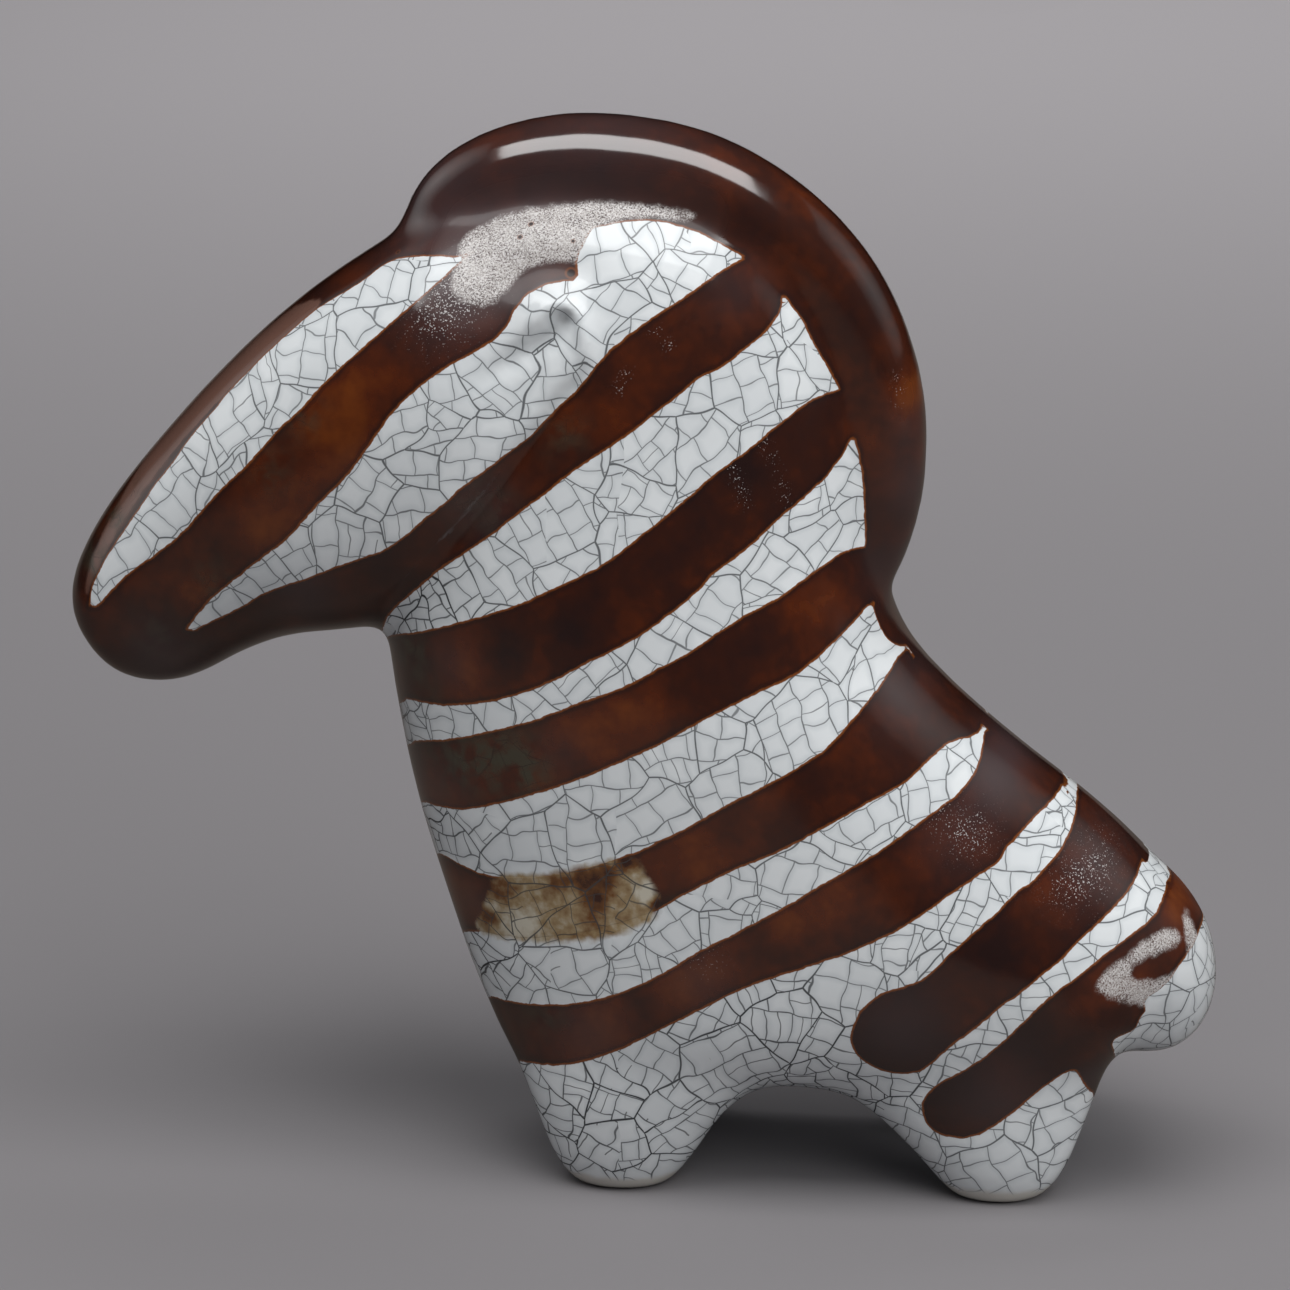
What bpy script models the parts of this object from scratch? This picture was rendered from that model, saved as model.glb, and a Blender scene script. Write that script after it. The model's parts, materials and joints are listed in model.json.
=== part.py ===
"""A zebra figurine in glazed ceramic, cast in one piece, which stands on four short legs."""
import math

import bmesh
import bpy
import numpy as np
from mathutils import Vector

for item in list(bpy.data.objects):
    bpy.data.objects.remove(item)

# The figure's sizes in metres.
HEIGHT = 0.150
BODY_WIDTH = 0.052
HEAD_WIDTH = 0.043
MANE_WIDTH = 0.0165
TAIL_WIDTH = 0.021
FOOT_SPACING = 0.0262
FOOT_WIDTH = 0.0157
EAR_RIM = 0.0062
EAR_PROUD = 0.0016
SMALLEST_FORM = 0.0009

# Places in the side view, x towards the rump and z up, are in 150ths of the height.
UNIT = HEIGHT / 150.0
RING_POINTS = 40
STEPS_BETWEEN = 5
BACK_FULLNESS = 2.25
EAR_SEAT = 0.345
EAR_LEAN = 0.0058
EAR_TOP = 126.3
BODY_SMOOTHING = 80
EDGE_SMOOTHING = 20
FACE_LIMIT = 7600


def through(stations, steps=STEPS_BETWEEN):
    """A smooth run of values through the stations."""
    points = np.array(stations, float)
    before = np.vstack([2 * points[0] - points[1], points, 2 * points[-1] - points[-2]])
    rows = []
    for index in range(len(points) - 1):
        a, b, c, d = before[index:index + 4]
        for step in range(steps):
            t = step / steps
            rows.append(0.5 * (2 * b + (c - a) * t + (2 * a - 5 * b + 4 * c - d) * t ** 2
                               + (3 * b - a - 3 * c + d) * t ** 3))
    rows.append(points[-1])
    return np.array(rows)


def power(value, exponent):
    return math.copysign(abs(value) ** exponent, value)


def oval(centre, along, across, upper=2.0, lower=2.0):
    """A ring of points round a centre, with two half-axes given as vectors. Its two halves may be
    fuller than an ellipse, whose value is 2."""
    ring = []
    for index in range(RING_POINTS):
        angle = 2 * math.pi * index / RING_POINTS
        fullness = upper if math.cos(angle) > 0 else lower
        ring.append(centre + along * power(math.cos(angle), 2 / fullness)
                    + across * power(math.sin(angle), 2 / fullness))
    return ring


def skin(name, rings):
    """A closed skin over a row of rings."""
    mesh = bmesh.new()
    rows = [[mesh.verts.new(point) for point in ring] for ring in rings]
    for row, following in zip(rows, rows[1:]):
        for index in range(len(row)):
            after = (index + 1) % len(row)
            mesh.faces.new((row[index], row[after], following[after], following[index]))
    mesh.faces.new(rows[0][::-1])
    mesh.faces.new(rows[-1])
    bmesh.ops.recalc_face_normals(mesh, faces=mesh.faces)
    data = bpy.data.meshes.new(name)
    mesh.to_mesh(data)
    mesh.free()
    form = bpy.data.objects.new(name, data)
    bpy.context.collection.objects.link(form)
    return form


def cross_cuts(stations, width):
    """Ovals across the figure. A station is its upper point, its lower point, a share of the width and
    how full its lower half is."""
    rings = []
    for x_up, z_up, x_low, z_low, share, fullness in through(stations):
        upper = Vector((x_up, 0, z_up)) * UNIT
        lower = Vector((x_low, 0, z_low)) * UNIT
        half_width = Vector((0, max(share, 0.02) * width / 2, 0))
        rings.append(oval((upper + lower) / 2, (upper - lower) / 2, half_width, BACK_FULLNESS, fullness))
    return rings


def trunk():
    """Neck, chest, body and rump, cut across from the crown round to the tail."""
    return skin("trunk", cross_cuts([
        (2, 140.5, -13, 140.0, 0.12, 2.2),
        (10, 138.5, -23, 137.5, 0.38, 2.2),
        (18, 133.5, -31, 133, 0.55, 2.2),
        (24.5, 126, -35, 125.5, 0.67, 2.2),
        (29, 115.5, -36.5, 114, 0.75, 2.2),
        (31.5, 103, -37, 102, 0.82, 2.2),
        (32.8, 92, -36.7, 90, 0.89, 2.2),
        (34.8, 84, -35.9, 78, 0.94, 2.25),
        (37.6, 76.9, -34.2, 66, 0.98, 2.3),
        (42.8, 70.8, -31.5, 53, 1.0, 2.4),
        (49.3, 65.0, -27.3, 39.5, 1.0, 2.6),
        (55.8, 59.8, -22.4, 26, 1.0, 2.9),
        (61.8, 55.4, -15.0, 14.0, 0.99, 3.2),
        (66.6, 51.3, 2, 13.2, 0.97, 3.1),
        (70.6, 47.5, 16, 13.5, 0.95, 2.8),
        (73.6, 43.2, 30, 12.8, 0.93, 2.8),
        (75.0, 38.5, 43, 12.6, 0.89, 3.0),
        (74.8, 33.5, 54, 12.5, 0.80, 3.0),
        (73, 28, 60, 13.5, 0.64, 2.6),
        (70.5, 22.5, 64, 16, 0.38, 2.2),
    ], BODY_WIDTH))


def head():
    """The long head, cut across from the crown to the end of the muzzle."""
    return skin("head", cross_cuts([
        (-14, 138.5, 4, 125, 0.26, 2.35),
        (-21, 138.4, 4, 115, 0.58, 2.35),
        (-29, 135.7, 1, 105, 0.84, 2.35),
        (-36.7, 130.9, -5.5, 96.5, 0.97, 2.35),
        (-45, 125.2, -14, 87.8, 1.0, 2.35),
        (-53, 118.5, -26, 80.3, 0.96, 2.35),
        (-60.3, 111.2, -38.5, 77.0, 0.88, 2.35),
        (-66.7, 104.0, -48, 75.7, 0.77, 2.35),
        (-72.2, 97.3, -55.5, 72.9, 0.68, 2.35),
        (-76.4, 91.3, -61.3, 69.6, 0.62, 2.35),
        (-79.3, 85.8, -66.6, 68.0, 0.56, 2.35),
        (-80.6, 81.2, -72.6, 68.9, 0.45, 2.35),
        (-80.0, 77.4, -76.8, 72.2, 0.22, 2.35),
    ], HEAD_WIDTH))


def mane():
    """The rolled mane, a tube over the midline that tapers at its two ends."""
    middle = through([
        (-34.0, 129.5, 2.0),
        (-29.9, 132.6, 4.2),
        (-25.0, 137.8, 5.9),
        (-17.3, 141.3, 6.8),
        (-6.5, 142.8, 7.1),
        (7.3, 140.7, 7.1),
        (19.1, 134.1, 7.0),
        (27.7, 124.6, 6.8),
        (32.6, 112.5, 6.6),
        (33.6, 101.0, 6.3),
        (32.6, 92.0, 5.6),
        (31.5, 85.5, 4.2),
        (31.5, 81.0, 2.0),
    ])
    return skin("mane", tube(middle, MANE_WIDTH / 2 * middle[:, 2] / middle[:, 2].max()))


def tube(middle, half_widths):
    """Ovals along a line in the side view. Each of its points has its x, its z and its radius there."""
    rings = []
    for index, (x, z, radius) in enumerate(middle):
        before = middle[max(index - 1, 0)]
        after = middle[min(index + 1, len(middle) - 1)]
        outward = Vector((before[1] - after[1], 0, after[0] - before[0])).normalized()
        across = Vector((0, half_widths[index], 0))
        rings.append(oval(Vector((x, 0, z)) * UNIT, outward * radius * UNIT, across))
    return rings


def leg(name, side, stations):
    """A short leg. A station is its height, its front and rear edge, and how far its outer and its inner
    edge lie beyond the sole's."""
    rings = []
    for z, front, rear, further_out, further_in in through(stations):
        outer = (FOOT_SPACING + FOOT_WIDTH) / 2 + further_out * UNIT
        inner = (FOOT_SPACING - FOOT_WIDTH) / 2 - further_in * UNIT
        centre = Vector(((front + rear) / 2 * UNIT, side * (outer + inner) / 2, z * UNIT))
        length = Vector(((rear - front) / 2 * UNIT, 0, 0))
        half_width = Vector((0, (outer - inner) / 2, 0))
        rings.append(oval(centre, length, half_width, 2.2, 2.2))
    return skin(name, rings)


def legs():
    fore = [
        (-2.5, -7.0, 4.8, -2.8, -2.8),
        (0.0, -8.9, 6.4, -1.5, -1.5),
        (2.5, -11.0, 8.7, 0.0, 0.0),
        (6.0, -12.4, 10.9, 1.0, 0.6),
        (10.0, -13.8, 13.2, 1.7, 2.2),
        (14.0, -15.4, 17.6, 2.2, 5.0),
        (19.0, -17.0, 22.0, 2.4, 6.0),
        (26.0, -17.5, 24.0, 1.7, 6.0),
        (34.0, -14.0, 22.0, -0.6, 6.0),
        (43.0, -6.0, 14.0, -6.0, 6.0),
    ]
    hind = [
        (-2.5, 46.4, 57.0, -2.8, -2.8),
        (0.0, 44.6, 59.2, -1.5, -1.5),
        (2.5, 42.4, 61.4, 0.0, 0.0),
        (6.0, 39.5, 62.9, 0.6, 0.6),
        (10.0, 35.4, 64.3, 1.0, 2.2),
        (14.0, 30.4, 65.8, 1.2, 4.6),
        (19.0, 27.0, 66.8, 1.0, 6.0),
        (26.0, 29.0, 66.0, 0.0, 6.0),
        (34.0, 34.0, 62.0, -3.0, 6.0),
        (43.0, 42.0, 56.0, -8.0, 6.0),
    ]
    made = []
    for side, word in ((-1, "left"), (1, "right")):
        made.append(leg("fore_" + word, side, fore))
        made.append(leg("hind_" + word, side, hind))
    return made


def tail():
    """The stub of a tail: the end of the back runs on into a round lobe that hangs free at its tip."""
    middle = through([
        (56.0, 43.0, 8.0, 1.80),
        (63.5, 39.4, 9.4, 1.76),
        (69.2, 34.6, 10.4, 1.62),
        (72.0, 29.8, 10.2, 1.42),
        (72.6, 24.9, 9.2, 1.18),
        (72.2, 20.9, 7.0, 0.90),
        (71.6, 17.6, 3.6, 0.56),
    ])
    return skin("tail", tube(middle[:, :3], TAIL_WIDTH / 2 * middle[:, 3]))


def ears():
    """Two ears, each a soft horseshoe of clay on the side of the head, open down and forwards."""
    rim = through([(-20.5, 114.0), (-18.2, 119.0), (-15.0, 123.8), (-10.8, EAR_TOP),
                   (-7.6, 124.6), (-6.4, 120.0), (-8.2, 113.5), (-12.5, 106.5)])
    made = []
    for side, word in ((-1, "left"), (1, "right")):
        rings = []
        for index, (x, z) in enumerate(rim):
            before = rim[max(index - 1, 0)]
            after = rim[min(index + 1, len(rim) - 1)]
            share = index / (len(rim) - 1)
            swell = math.sin(math.pi * min(max(share, 0.02), 0.98)) ** 0.5
            sideways = Vector((after[1] - before[1], 0, before[0] - after[0])).normalized()
            reach = (EAR_PROUD + EAR_RIM / 2) * swell
            seat = HEAD_WIDTH * (EAR_SEAT + EAR_LEAN * (EAR_TOP - z))
            centre = Vector((x * UNIT, side * seat, z * UNIT))
            outward = Vector((0, side * reach, 0))
            rings.append(oval(centre, sideways * EAR_RIM / 2 * swell, outward, 2.0))
        made.append(skin("ear_" + word, rings))
    return made


def joined(forms, smoothing):
    """One body from several forms, with soft clay fillets where they meet."""
    body = forms[0]
    with bpy.context.temp_override(active_object=body, object=body, selected_editable_objects=forms,
                                   selected_objects=forms):
        bpy.ops.object.join()
    remesh = body.modifiers.new("one_body", "REMESH")
    remesh.mode = "VOXEL"
    remesh.voxel_size = SMALLEST_FORM
    soften = body.modifiers.new("soft_clay", "SMOOTH")
    soften.factor = 0.5
    soften.iterations = smoothing
    return baked(body)


def baked(body):
    """The mesh that the modifiers give, put in the object's place."""
    bpy.context.view_layer.update()
    graph = bpy.context.evaluated_depsgraph_get()
    data = bpy.data.meshes.new_from_object(body.evaluated_get(graph))
    body.modifiers.clear()
    body.data = data
    return body


def fewer_faces(body):
    body.data.calc_loop_triangles()
    thin = body.modifiers.new("fewer_faces", "DECIMATE")
    thin.ratio = FACE_LIMIT / len(body.data.loop_triangles)
    thin.use_collapse_triangulate = True
    return baked(body)


def flat_soles(body):
    """The feet are ground flat, and the whole figure is set on its soles over the origin."""
    mesh = bmesh.new()
    mesh.from_mesh(body.data)
    cut = bmesh.ops.bisect_plane(mesh, geom=mesh.verts[:] + mesh.edges[:] + mesh.faces[:], dist=1e-6,
                                 plane_co=(0, 0, 0), plane_no=(0, 0, 1), clear_inner=True)
    rim = [item for item in cut["geom_cut"] if isinstance(item, bmesh.types.BMEdge)]
    bmesh.ops.holes_fill(mesh, edges=rim, sides=0)
    bmesh.ops.triangulate(mesh, faces=[face for face in mesh.faces if len(face.verts) > 3])
    bmesh.ops.recalc_face_normals(mesh, faces=mesh.faces)
    spots = np.array([vert.co for vert in mesh.verts])
    low, high = spots.min(0), spots.max(0)
    shift = Vector((-(low[0] + high[0]) / 2, -(low[1] + high[1]) / 2, -low[2]))
    bmesh.ops.translate(mesh, verts=mesh.verts, vec=shift)
    mesh.to_mesh(body.data)
    mesh.free()
    return body


def glaze():
    material = bpy.data.materials.new("crackled_glaze")
    material.use_nodes = True
    shader = material.node_tree.nodes["Principled BSDF"]
    shader.inputs["Base Color"].default_value = (0.66, 0.69, 0.70, 1.0)
    shader.inputs["Roughness"].default_value = 0.12
    shader.inputs["Metallic"].default_value = 0.0
    return material


body = joined([trunk(), tail()] + legs(), BODY_SMOOTHING)
figure = joined([body, head(), mane()] + ears(), EDGE_SMOOTHING)
figure = flat_soles(fewer_faces(figure))
figure.name = "zebra_figurine"
figure.data.materials.clear()
figure.data.materials.append(glaze())
figure.data.shade_smooth()
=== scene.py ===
import json
import math

import bpy
import numpy as np
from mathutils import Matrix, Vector
from mathutils.bvhtree import BVHTree
from mathutils.kdtree import KDTree

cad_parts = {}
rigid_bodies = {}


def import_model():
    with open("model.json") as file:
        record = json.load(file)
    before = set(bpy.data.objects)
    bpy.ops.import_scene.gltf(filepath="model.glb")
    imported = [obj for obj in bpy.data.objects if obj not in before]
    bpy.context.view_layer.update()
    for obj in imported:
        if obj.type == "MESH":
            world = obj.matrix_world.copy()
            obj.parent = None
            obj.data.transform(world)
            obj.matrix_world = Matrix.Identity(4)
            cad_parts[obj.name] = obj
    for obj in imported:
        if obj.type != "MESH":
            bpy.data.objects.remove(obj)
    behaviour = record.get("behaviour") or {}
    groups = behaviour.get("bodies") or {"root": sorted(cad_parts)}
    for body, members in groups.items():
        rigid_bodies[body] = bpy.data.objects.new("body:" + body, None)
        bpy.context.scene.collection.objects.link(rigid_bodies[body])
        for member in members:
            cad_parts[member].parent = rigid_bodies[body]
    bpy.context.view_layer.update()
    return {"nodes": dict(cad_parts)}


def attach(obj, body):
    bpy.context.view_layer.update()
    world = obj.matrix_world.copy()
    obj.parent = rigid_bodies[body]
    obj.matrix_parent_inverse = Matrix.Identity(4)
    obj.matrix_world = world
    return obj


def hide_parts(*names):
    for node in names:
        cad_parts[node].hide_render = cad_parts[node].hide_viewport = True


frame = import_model()

# The camera. A long lens looks at the figurine nearly broadside from three quarters of a metre, a little
# from above. The painted edges further down are read in this same square frame, in pixels.
FRAME_SIDE_PX = 1290
LENS_MM = 150
SENSOR_MM = 36
CAMERA_TURN = math.radians(6)
CAMERA_RISE = math.radians(15.5)
CAMERA_DISTANCE = 0.754
LOOKED_AT = Vector((0, 0, 0.0745))
toward_camera = Vector((
    math.sin(CAMERA_TURN) * math.cos(CAMERA_RISE),
    -math.cos(CAMERA_TURN) * math.cos(CAMERA_RISE),
    math.sin(CAMERA_RISE),
))
bpy.ops.object.select_all(action="DESELECT")
bpy.ops.object.camera_add(
    location=LOOKED_AT + toward_camera * CAMERA_DISTANCE,
    rotation=(math.pi / 2 - CAMERA_RISE, 0, CAMERA_TURN),
)
camera = bpy.context.object
camera.name = "camera"
camera.data.lens = LENS_MM
camera.data.sensor_width = SENSOR_MM
camera.data.sensor_fit = "HORIZONTAL"
bpy.context.scene.camera = camera

# The figurine. The real one is slip-cast stoneware: trunk, long drooping head, rolled mane, ears, four
# stub legs and tail are one hollow casting. Its skin is drawn finely here, as soft as glaze leaves it.
SKIN_STEP = 0.00077
SKIN_SOFTENING = 20
casting = frame["nodes"]["zebra_figurine"]
bpy.ops.object.select_all(action="DESELECT")
casting.select_set(True)
bpy.context.view_layer.objects.active = casting
bpy.ops.object.duplicate()
figurine = bpy.context.object
bpy.ops.object.parent_clear(type="CLEAR_KEEP_TRANSFORM")
figurine.name = "glazed_zebra"
figurine.data.name = "glazed_zebra"
bpy.ops.object.mode_set(mode="EDIT")
bpy.ops.mesh.select_all(action="SELECT")
bpy.ops.mesh.remove_doubles(threshold=0.00001)
bpy.ops.object.mode_set(mode="OBJECT")
skin = figurine.modifiers.new("skin", "REMESH")
skin.mode = "VOXEL"
skin.voxel_size = SKIN_STEP
bpy.ops.object.modifier_apply(modifier=skin.name)
soft = figurine.modifiers.new("soft", "SMOOTH")
soft.factor = 0.5
soft.iterations = SKIN_SOFTENING
bpy.ops.object.modifier_apply(modifier=soft.name)
bpy.ops.object.shade_smooth()

# The cast relief. The mould gives each side of the head a small ear, a horseshoe rim round a hollow that
# runs out forwards, with a shallow dip above it, and an edge where the cheek stands out from the neck. The
# lines are the same on both sides, so each is drawn once and pressed in from left and right, in mm.
EAR_RIM = [
    (502, 362), (514, 342), (530, 321), (545, 308), (559, 303), (572, 307), (582, 320), (587, 338),
    (586, 358), (578, 378),
]
EAR_HOLLOW = [(562, 322), (556, 334), (541, 344), (522, 354), (501, 368), (484, 380)]
EAR_BROW = [(500, 312), (508, 294), (522, 280), (540, 272), (562, 270), (585, 278)]
EAR_MIDDLE = (552, 352)
CHEEK_EDGE = [
    (588, 360), (576, 384), (560, 405), (545, 428), (526, 452), (505, 480), (480, 510), (450, 542),
    (418, 574), (388, 604),
]
COARSE_EAR_REACH = 15.0
COARSE_EAR_FADE = 4.0
COARSE_EAR_EVENING = 132
RIM_PROUD = 0.8
RIM_WIDTH_INSIDE = 1.3
RIM_WIDTH_OUTSIDE = 0.8
BROW_DEPTH = 0.55
BROW_WIDTH = 2.2
HOLLOW_DEPTH = 1.9
HOLLOW_WIDTH = 1.5
CHEEK_CREASE_DEPTH = 0.9
CHEEK_CREASE_WIDTH = 1.3
CHEEK_PROUD = 0.5
SETTLING = 3

across = Vector((math.cos(CAMERA_TURN), math.sin(CAMERA_TURN), 0))
upward = toward_camera.cross(across)
eye = LOOKED_AT + toward_camera * CAMERA_DISTANCE
focal_px = FRAME_SIDE_PX * LENS_MM / SENSOR_MM
glazed_skin = BVHTree.FromObject(figurine, bpy.context.evaluated_depsgraph_get())


def on_figure(spot):
    """The place in mm on the skin seen at a spot of the frame, or beside the figure if there is none."""
    aside = (spot[0] - FRAME_SIDE_PX / 2) / focal_px
    above = (FRAME_SIDE_PX / 2 - spot[1]) / focal_px
    line = across * aside + upward * above - toward_camera
    met = glazed_skin.ray_cast(eye, line)[0]
    if met is None:
        met = eye - line * (eye.y / line.y)
    return np.array(met) * 1000


def skin_arrays():
    """The skin's points in mm and its normals."""
    count = len(figurine.data.vertices)
    points = np.empty(count * 3)
    facing = np.empty(count * 3)
    figurine.data.vertices.foreach_get("co", points)
    figurine.data.vertices.foreach_get("normal", facing)
    return points.reshape(-1, 3) * 1000, facing.reshape(-1, 3)


def beside(line, places):
    """Each place's distance in mm from a drawn line, the share of the line passed, and its side of it."""
    line = np.array([on_figure(spot)[[0, 2]] for spot in line])
    best = np.full(len(places), 1e9)
    share = np.zeros(len(places))
    side = np.zeros(len(places))
    for i, (start, end) in enumerate(zip(line[:-1], line[1:])):
        run = end - start
        along = np.clip(((places - start) @ run) / (run @ run), 0, 1)
        away = places - start - along[:, None] * run
        reach = np.hypot(*away.T)
        closer = reach < best
        best[closer] = reach[closer]
        share[closer] = (i + along[closer]) / (len(line) - 1)
        turn = run[0] * away[:, 1] - run[1] * away[:, 0]
        side[closer] = np.sign(turn[closer])
    return best, share, side


def hump(reach, width):
    """One at the line or spot itself, falling off softly with the distance from it."""
    return np.exp(-(reach / width) ** 2)


# The solid's own ear is coarse, so it is evened out first, and the finer one takes its place.
places, normals = skin_arrays()
ear_middle = on_figure(EAR_MIDDLE)[[0, 2]]
from_ear = np.hypot(*(places[:, [0, 2]] - ear_middle).T)
calm = np.clip((COARSE_EAR_REACH - from_ear) / COARSE_EAR_FADE, 0, 1) * (np.abs(normals[:, 1]) > 0.35)
ear_area = figurine.vertex_groups.new(name="ear_area")
for index in np.nonzero(calm > 0)[0]:
    ear_area.add([int(index)], float(calm[index]), "REPLACE")
even = figurine.modifiers.new("even", "SMOOTH")
even.factor = 0.5
even.iterations = COARSE_EAR_EVENING
even.vertex_group = "ear_area"
bpy.ops.object.modifier_apply(modifier=even.name)
figurine.vertex_groups.clear()
glazed_skin = BVHTree.FromObject(figurine, bpy.context.evaluated_depsgraph_get())

places, normals = skin_arrays()
side_view = places[:, [0, 2]]
rim_reach, rim_share, rim_side = beside(EAR_RIM, side_view)
rim_width = np.where(rim_side > 0, RIM_WIDTH_OUTSIDE, RIM_WIDTH_INSIDE)
brow_reach, brow_share, _ = beside(EAR_BROW, side_view)
hollow_reach, hollow_share, _ = beside(EAR_HOLLOW, side_view)
cheek_reach, cheek_share, cheek_side = beside(CHEEK_EDGE, side_view)
rim_fade = np.clip(rim_share / 0.25, 0.15, 1) * np.clip((1 - rim_share) / 0.2, 0.3, 1)
press = RIM_PROUD * rim_fade * hump(rim_reach, rim_width)
press -= BROW_DEPTH * np.clip(3 * brow_share, 0.3, 1) * hump(brow_reach, BROW_WIDTH)
press -= HOLLOW_DEPTH * np.clip((1.15 - hollow_share), 0.1, 1) * hump(hollow_reach, HOLLOW_WIDTH)
crease_fade = np.clip(cheek_share / 0.15, 0, 1) * np.clip((1.1 - cheek_share) / 0.4, 0, 1)
press -= CHEEK_CREASE_DEPTH * crease_fade * hump(cheek_reach, CHEEK_CREASE_WIDTH)
on_cheek = np.clip(-cheek_side * cheek_reach / 1.5, 0, 1) * hump(cheek_reach - 2.5, 2.5)
press += CHEEK_PROUD * crease_fade * on_cheek
sideways = np.clip((np.abs(normals[:, 1]) - 0.25) / 0.35, 0, 1) * np.sign(places[:, 1])
places[:, 1] += press * sideways
figurine.data.vertices.foreach_set("co", (places / 1000).ravel())
figurine.data.update()
settle = figurine.modifiers.new("settle", "SMOOTH")
settle.factor = 0.5
settle.iterations = SETTLING
bpy.ops.object.modifier_apply(modifier=settle.name)
bpy.ops.object.shade_smooth()
glazed_skin = BVHTree.FromObject(figurine, bpy.context.evaluated_depsgraph_get())

# The brown glaze. It was brushed over the white in broad bands: mane and crown, nose and muzzle, a band
# on the cheek, one along the jaw, six round the trunk and one down the back. Outlines are in the camera's
# frame, and so are the soft spots, each with its reach in mm and its strength.
MANE = [
    (360, 262), (385, 263), (400, 258), (420, 255), (444, 257), (463, 257), (478, 248), (489, 238),
    (520, 234), (560, 232), (591, 231), (596, 226), (602, 227), (620, 222), (650, 220), (675, 225),
    (700, 233), (725, 247), (746, 258), (765, 275), (783, 295), (792, 307), (802, 320), (810, 337),
    (818, 352), (827, 367), (835, 382), (839, 390), (846, 410), (853, 437), (858, 453), (862, 473),
    (863, 493), (864, 513), (865, 548), (867, 575), (871, 600), (877, 622), (888, 641), (902, 648),
    (985, 640), (985, 300), (900, 120), (700, 60), (480, 60), (360, 160),
]
CROWN = [
    (463, 259), (489, 238), (520, 225), (600, 215), (596, 226), (591, 231), (583, 245), (576, 262),
    (579, 274), (575, 282), (561, 281), (541, 286), (528, 295), (500, 290),
]
NOSE_BRIDGE = [
    (462, 258), (430, 256), (405, 257), (385, 263), (365, 280), (340, 295), (315, 310), (290, 332),
    (270, 350), (250, 370), (230, 390), (215, 410), (205, 420), (187, 442), (172, 465), (157, 482),
    (142, 505), (125, 530), (110, 552), (100, 570), (91, 590), (90, 612), (40, 640), (30, 560),
    (140, 400), (300, 250), (380, 205), (440, 225),
]
CHEEK_BAND = [
    (462, 259), (440, 280), (420, 297), (400, 315), (380, 332), (360, 350), (340, 367), (320, 387),
    (300, 410), (280, 427), (260, 450), (245, 467), (230, 480), (215, 495), (200, 512), (185, 530),
    (165, 547), (147, 560), (125, 575), (107, 595), (90, 612), (100, 660), (170, 650), (185, 632),
    (200, 612), (215, 595), (235, 580), (260, 560), (285, 542), (305, 520), (320, 502), (340, 485),
    (360, 460), (380, 430), (395, 410), (410, 395), (435, 375), (455, 363), (475, 352), (496, 340),
    (511, 321), (515, 308), (527, 295), (540, 285), (560, 281), (489, 238),
]
MUZZLE = [
    (88, 608), (110, 600), (150, 605), (185, 632), (215, 628), (262, 650), (262, 720), (120, 720),
    (40, 680), (40, 600),
]
JAW_BAND = [
    (745, 257), (730, 265), (707, 280), (687, 295), (660, 312), (635, 330), (612, 347), (590, 372),
    (580, 387), (560, 405), (540, 425), (525, 441), (500, 458), (485, 470), (462, 486), (440, 507),
    (425, 517), (405, 536), (385, 550), (360, 558), (335, 567), (310, 577), (285, 585), (260, 594),
    (245, 605), (220, 617), (195, 629), (180, 640), (170, 720), (260, 690), (300, 650), (380, 640),
    (387, 615), (410, 595), (437, 572), (470, 550), (500, 530), (520, 512), (545, 495), (560, 482),
    (580, 467), (610, 447), (635, 430), (660, 410), (680, 395), (700, 377), (710, 373), (723, 367),
    (733, 360), (743, 351), (753, 343), (763, 335), (772, 325), (778, 317), (782, 307), (783, 295),
    (810, 290), (780, 245),
]
NECK_BAND = [
    (839, 389), (827, 393), (813, 398), (800, 407), (787, 417), (773, 428), (760, 440), (743, 453),
    (727, 465), (710, 477), (685, 500), (660, 520), (635, 540), (610, 560), (595, 569), (570, 581),
    (545, 592), (520, 604), (495, 612), (460, 622), (430, 630), (390, 635), (350, 640), (360, 700),
    (405, 698), (430, 705), (460, 706), (500, 701), (535, 689), (565, 676), (590, 662), (615, 650),
    (640, 637), (660, 622), (680, 607), (700, 590), (710, 577), (723, 567), (737, 557), (750, 547),
    (760, 538), (770, 528), (780, 518), (790, 510), (800, 502), (810, 493), (817, 485), (825, 480),
    (833, 468), (842, 457), (848, 445), (853, 437), (885, 430), (870, 375),
]
CHEST_BAND = [
    (865, 546), (853, 548), (840, 553), (827, 562), (813, 572), (803, 580), (795, 585), (780, 597),
    (760, 607), (740, 618), (720, 631), (700, 645), (685, 655), (660, 667), (635, 682), (610, 692),
    (580, 702), (560, 710), (535, 720), (505, 727), (475, 735), (440, 740), (412, 740), (370, 745),
    (380, 805), (420, 800), (440, 807), (462, 811), (505, 803), (545, 791), (580, 780), (610, 767),
    (640, 754), (670, 740), (700, 722), (730, 707), (760, 692), (790, 679), (810, 665), (840, 637),
    (855, 622), (870, 602), (900, 605), (895, 540),
]
SHOULDER_BAND = [
    (902, 648), (887, 675), (875, 692), (852, 720), (830, 745), (810, 760), (785, 775), (760, 788),
    (730, 803), (705, 817), (680, 832), (660, 840), (640, 851), (620, 857), (600, 865), (575, 871),
    (550, 876), (525, 878), (492, 877), (465, 867), (437, 850), (400, 845), (430, 935), (477, 930),
    (505, 936), (535, 938), (575, 934), (610, 926), (640, 916), (660, 910), (680, 897), (705, 885),
    (730, 872), (760, 860), (785, 850), (820, 830), (845, 817), (865, 805), (890, 792), (910, 780),
    (927, 762), (940, 750), (952, 741), (970, 738), (980, 732), (982, 725), (1010, 700), (940, 630),
]
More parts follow.
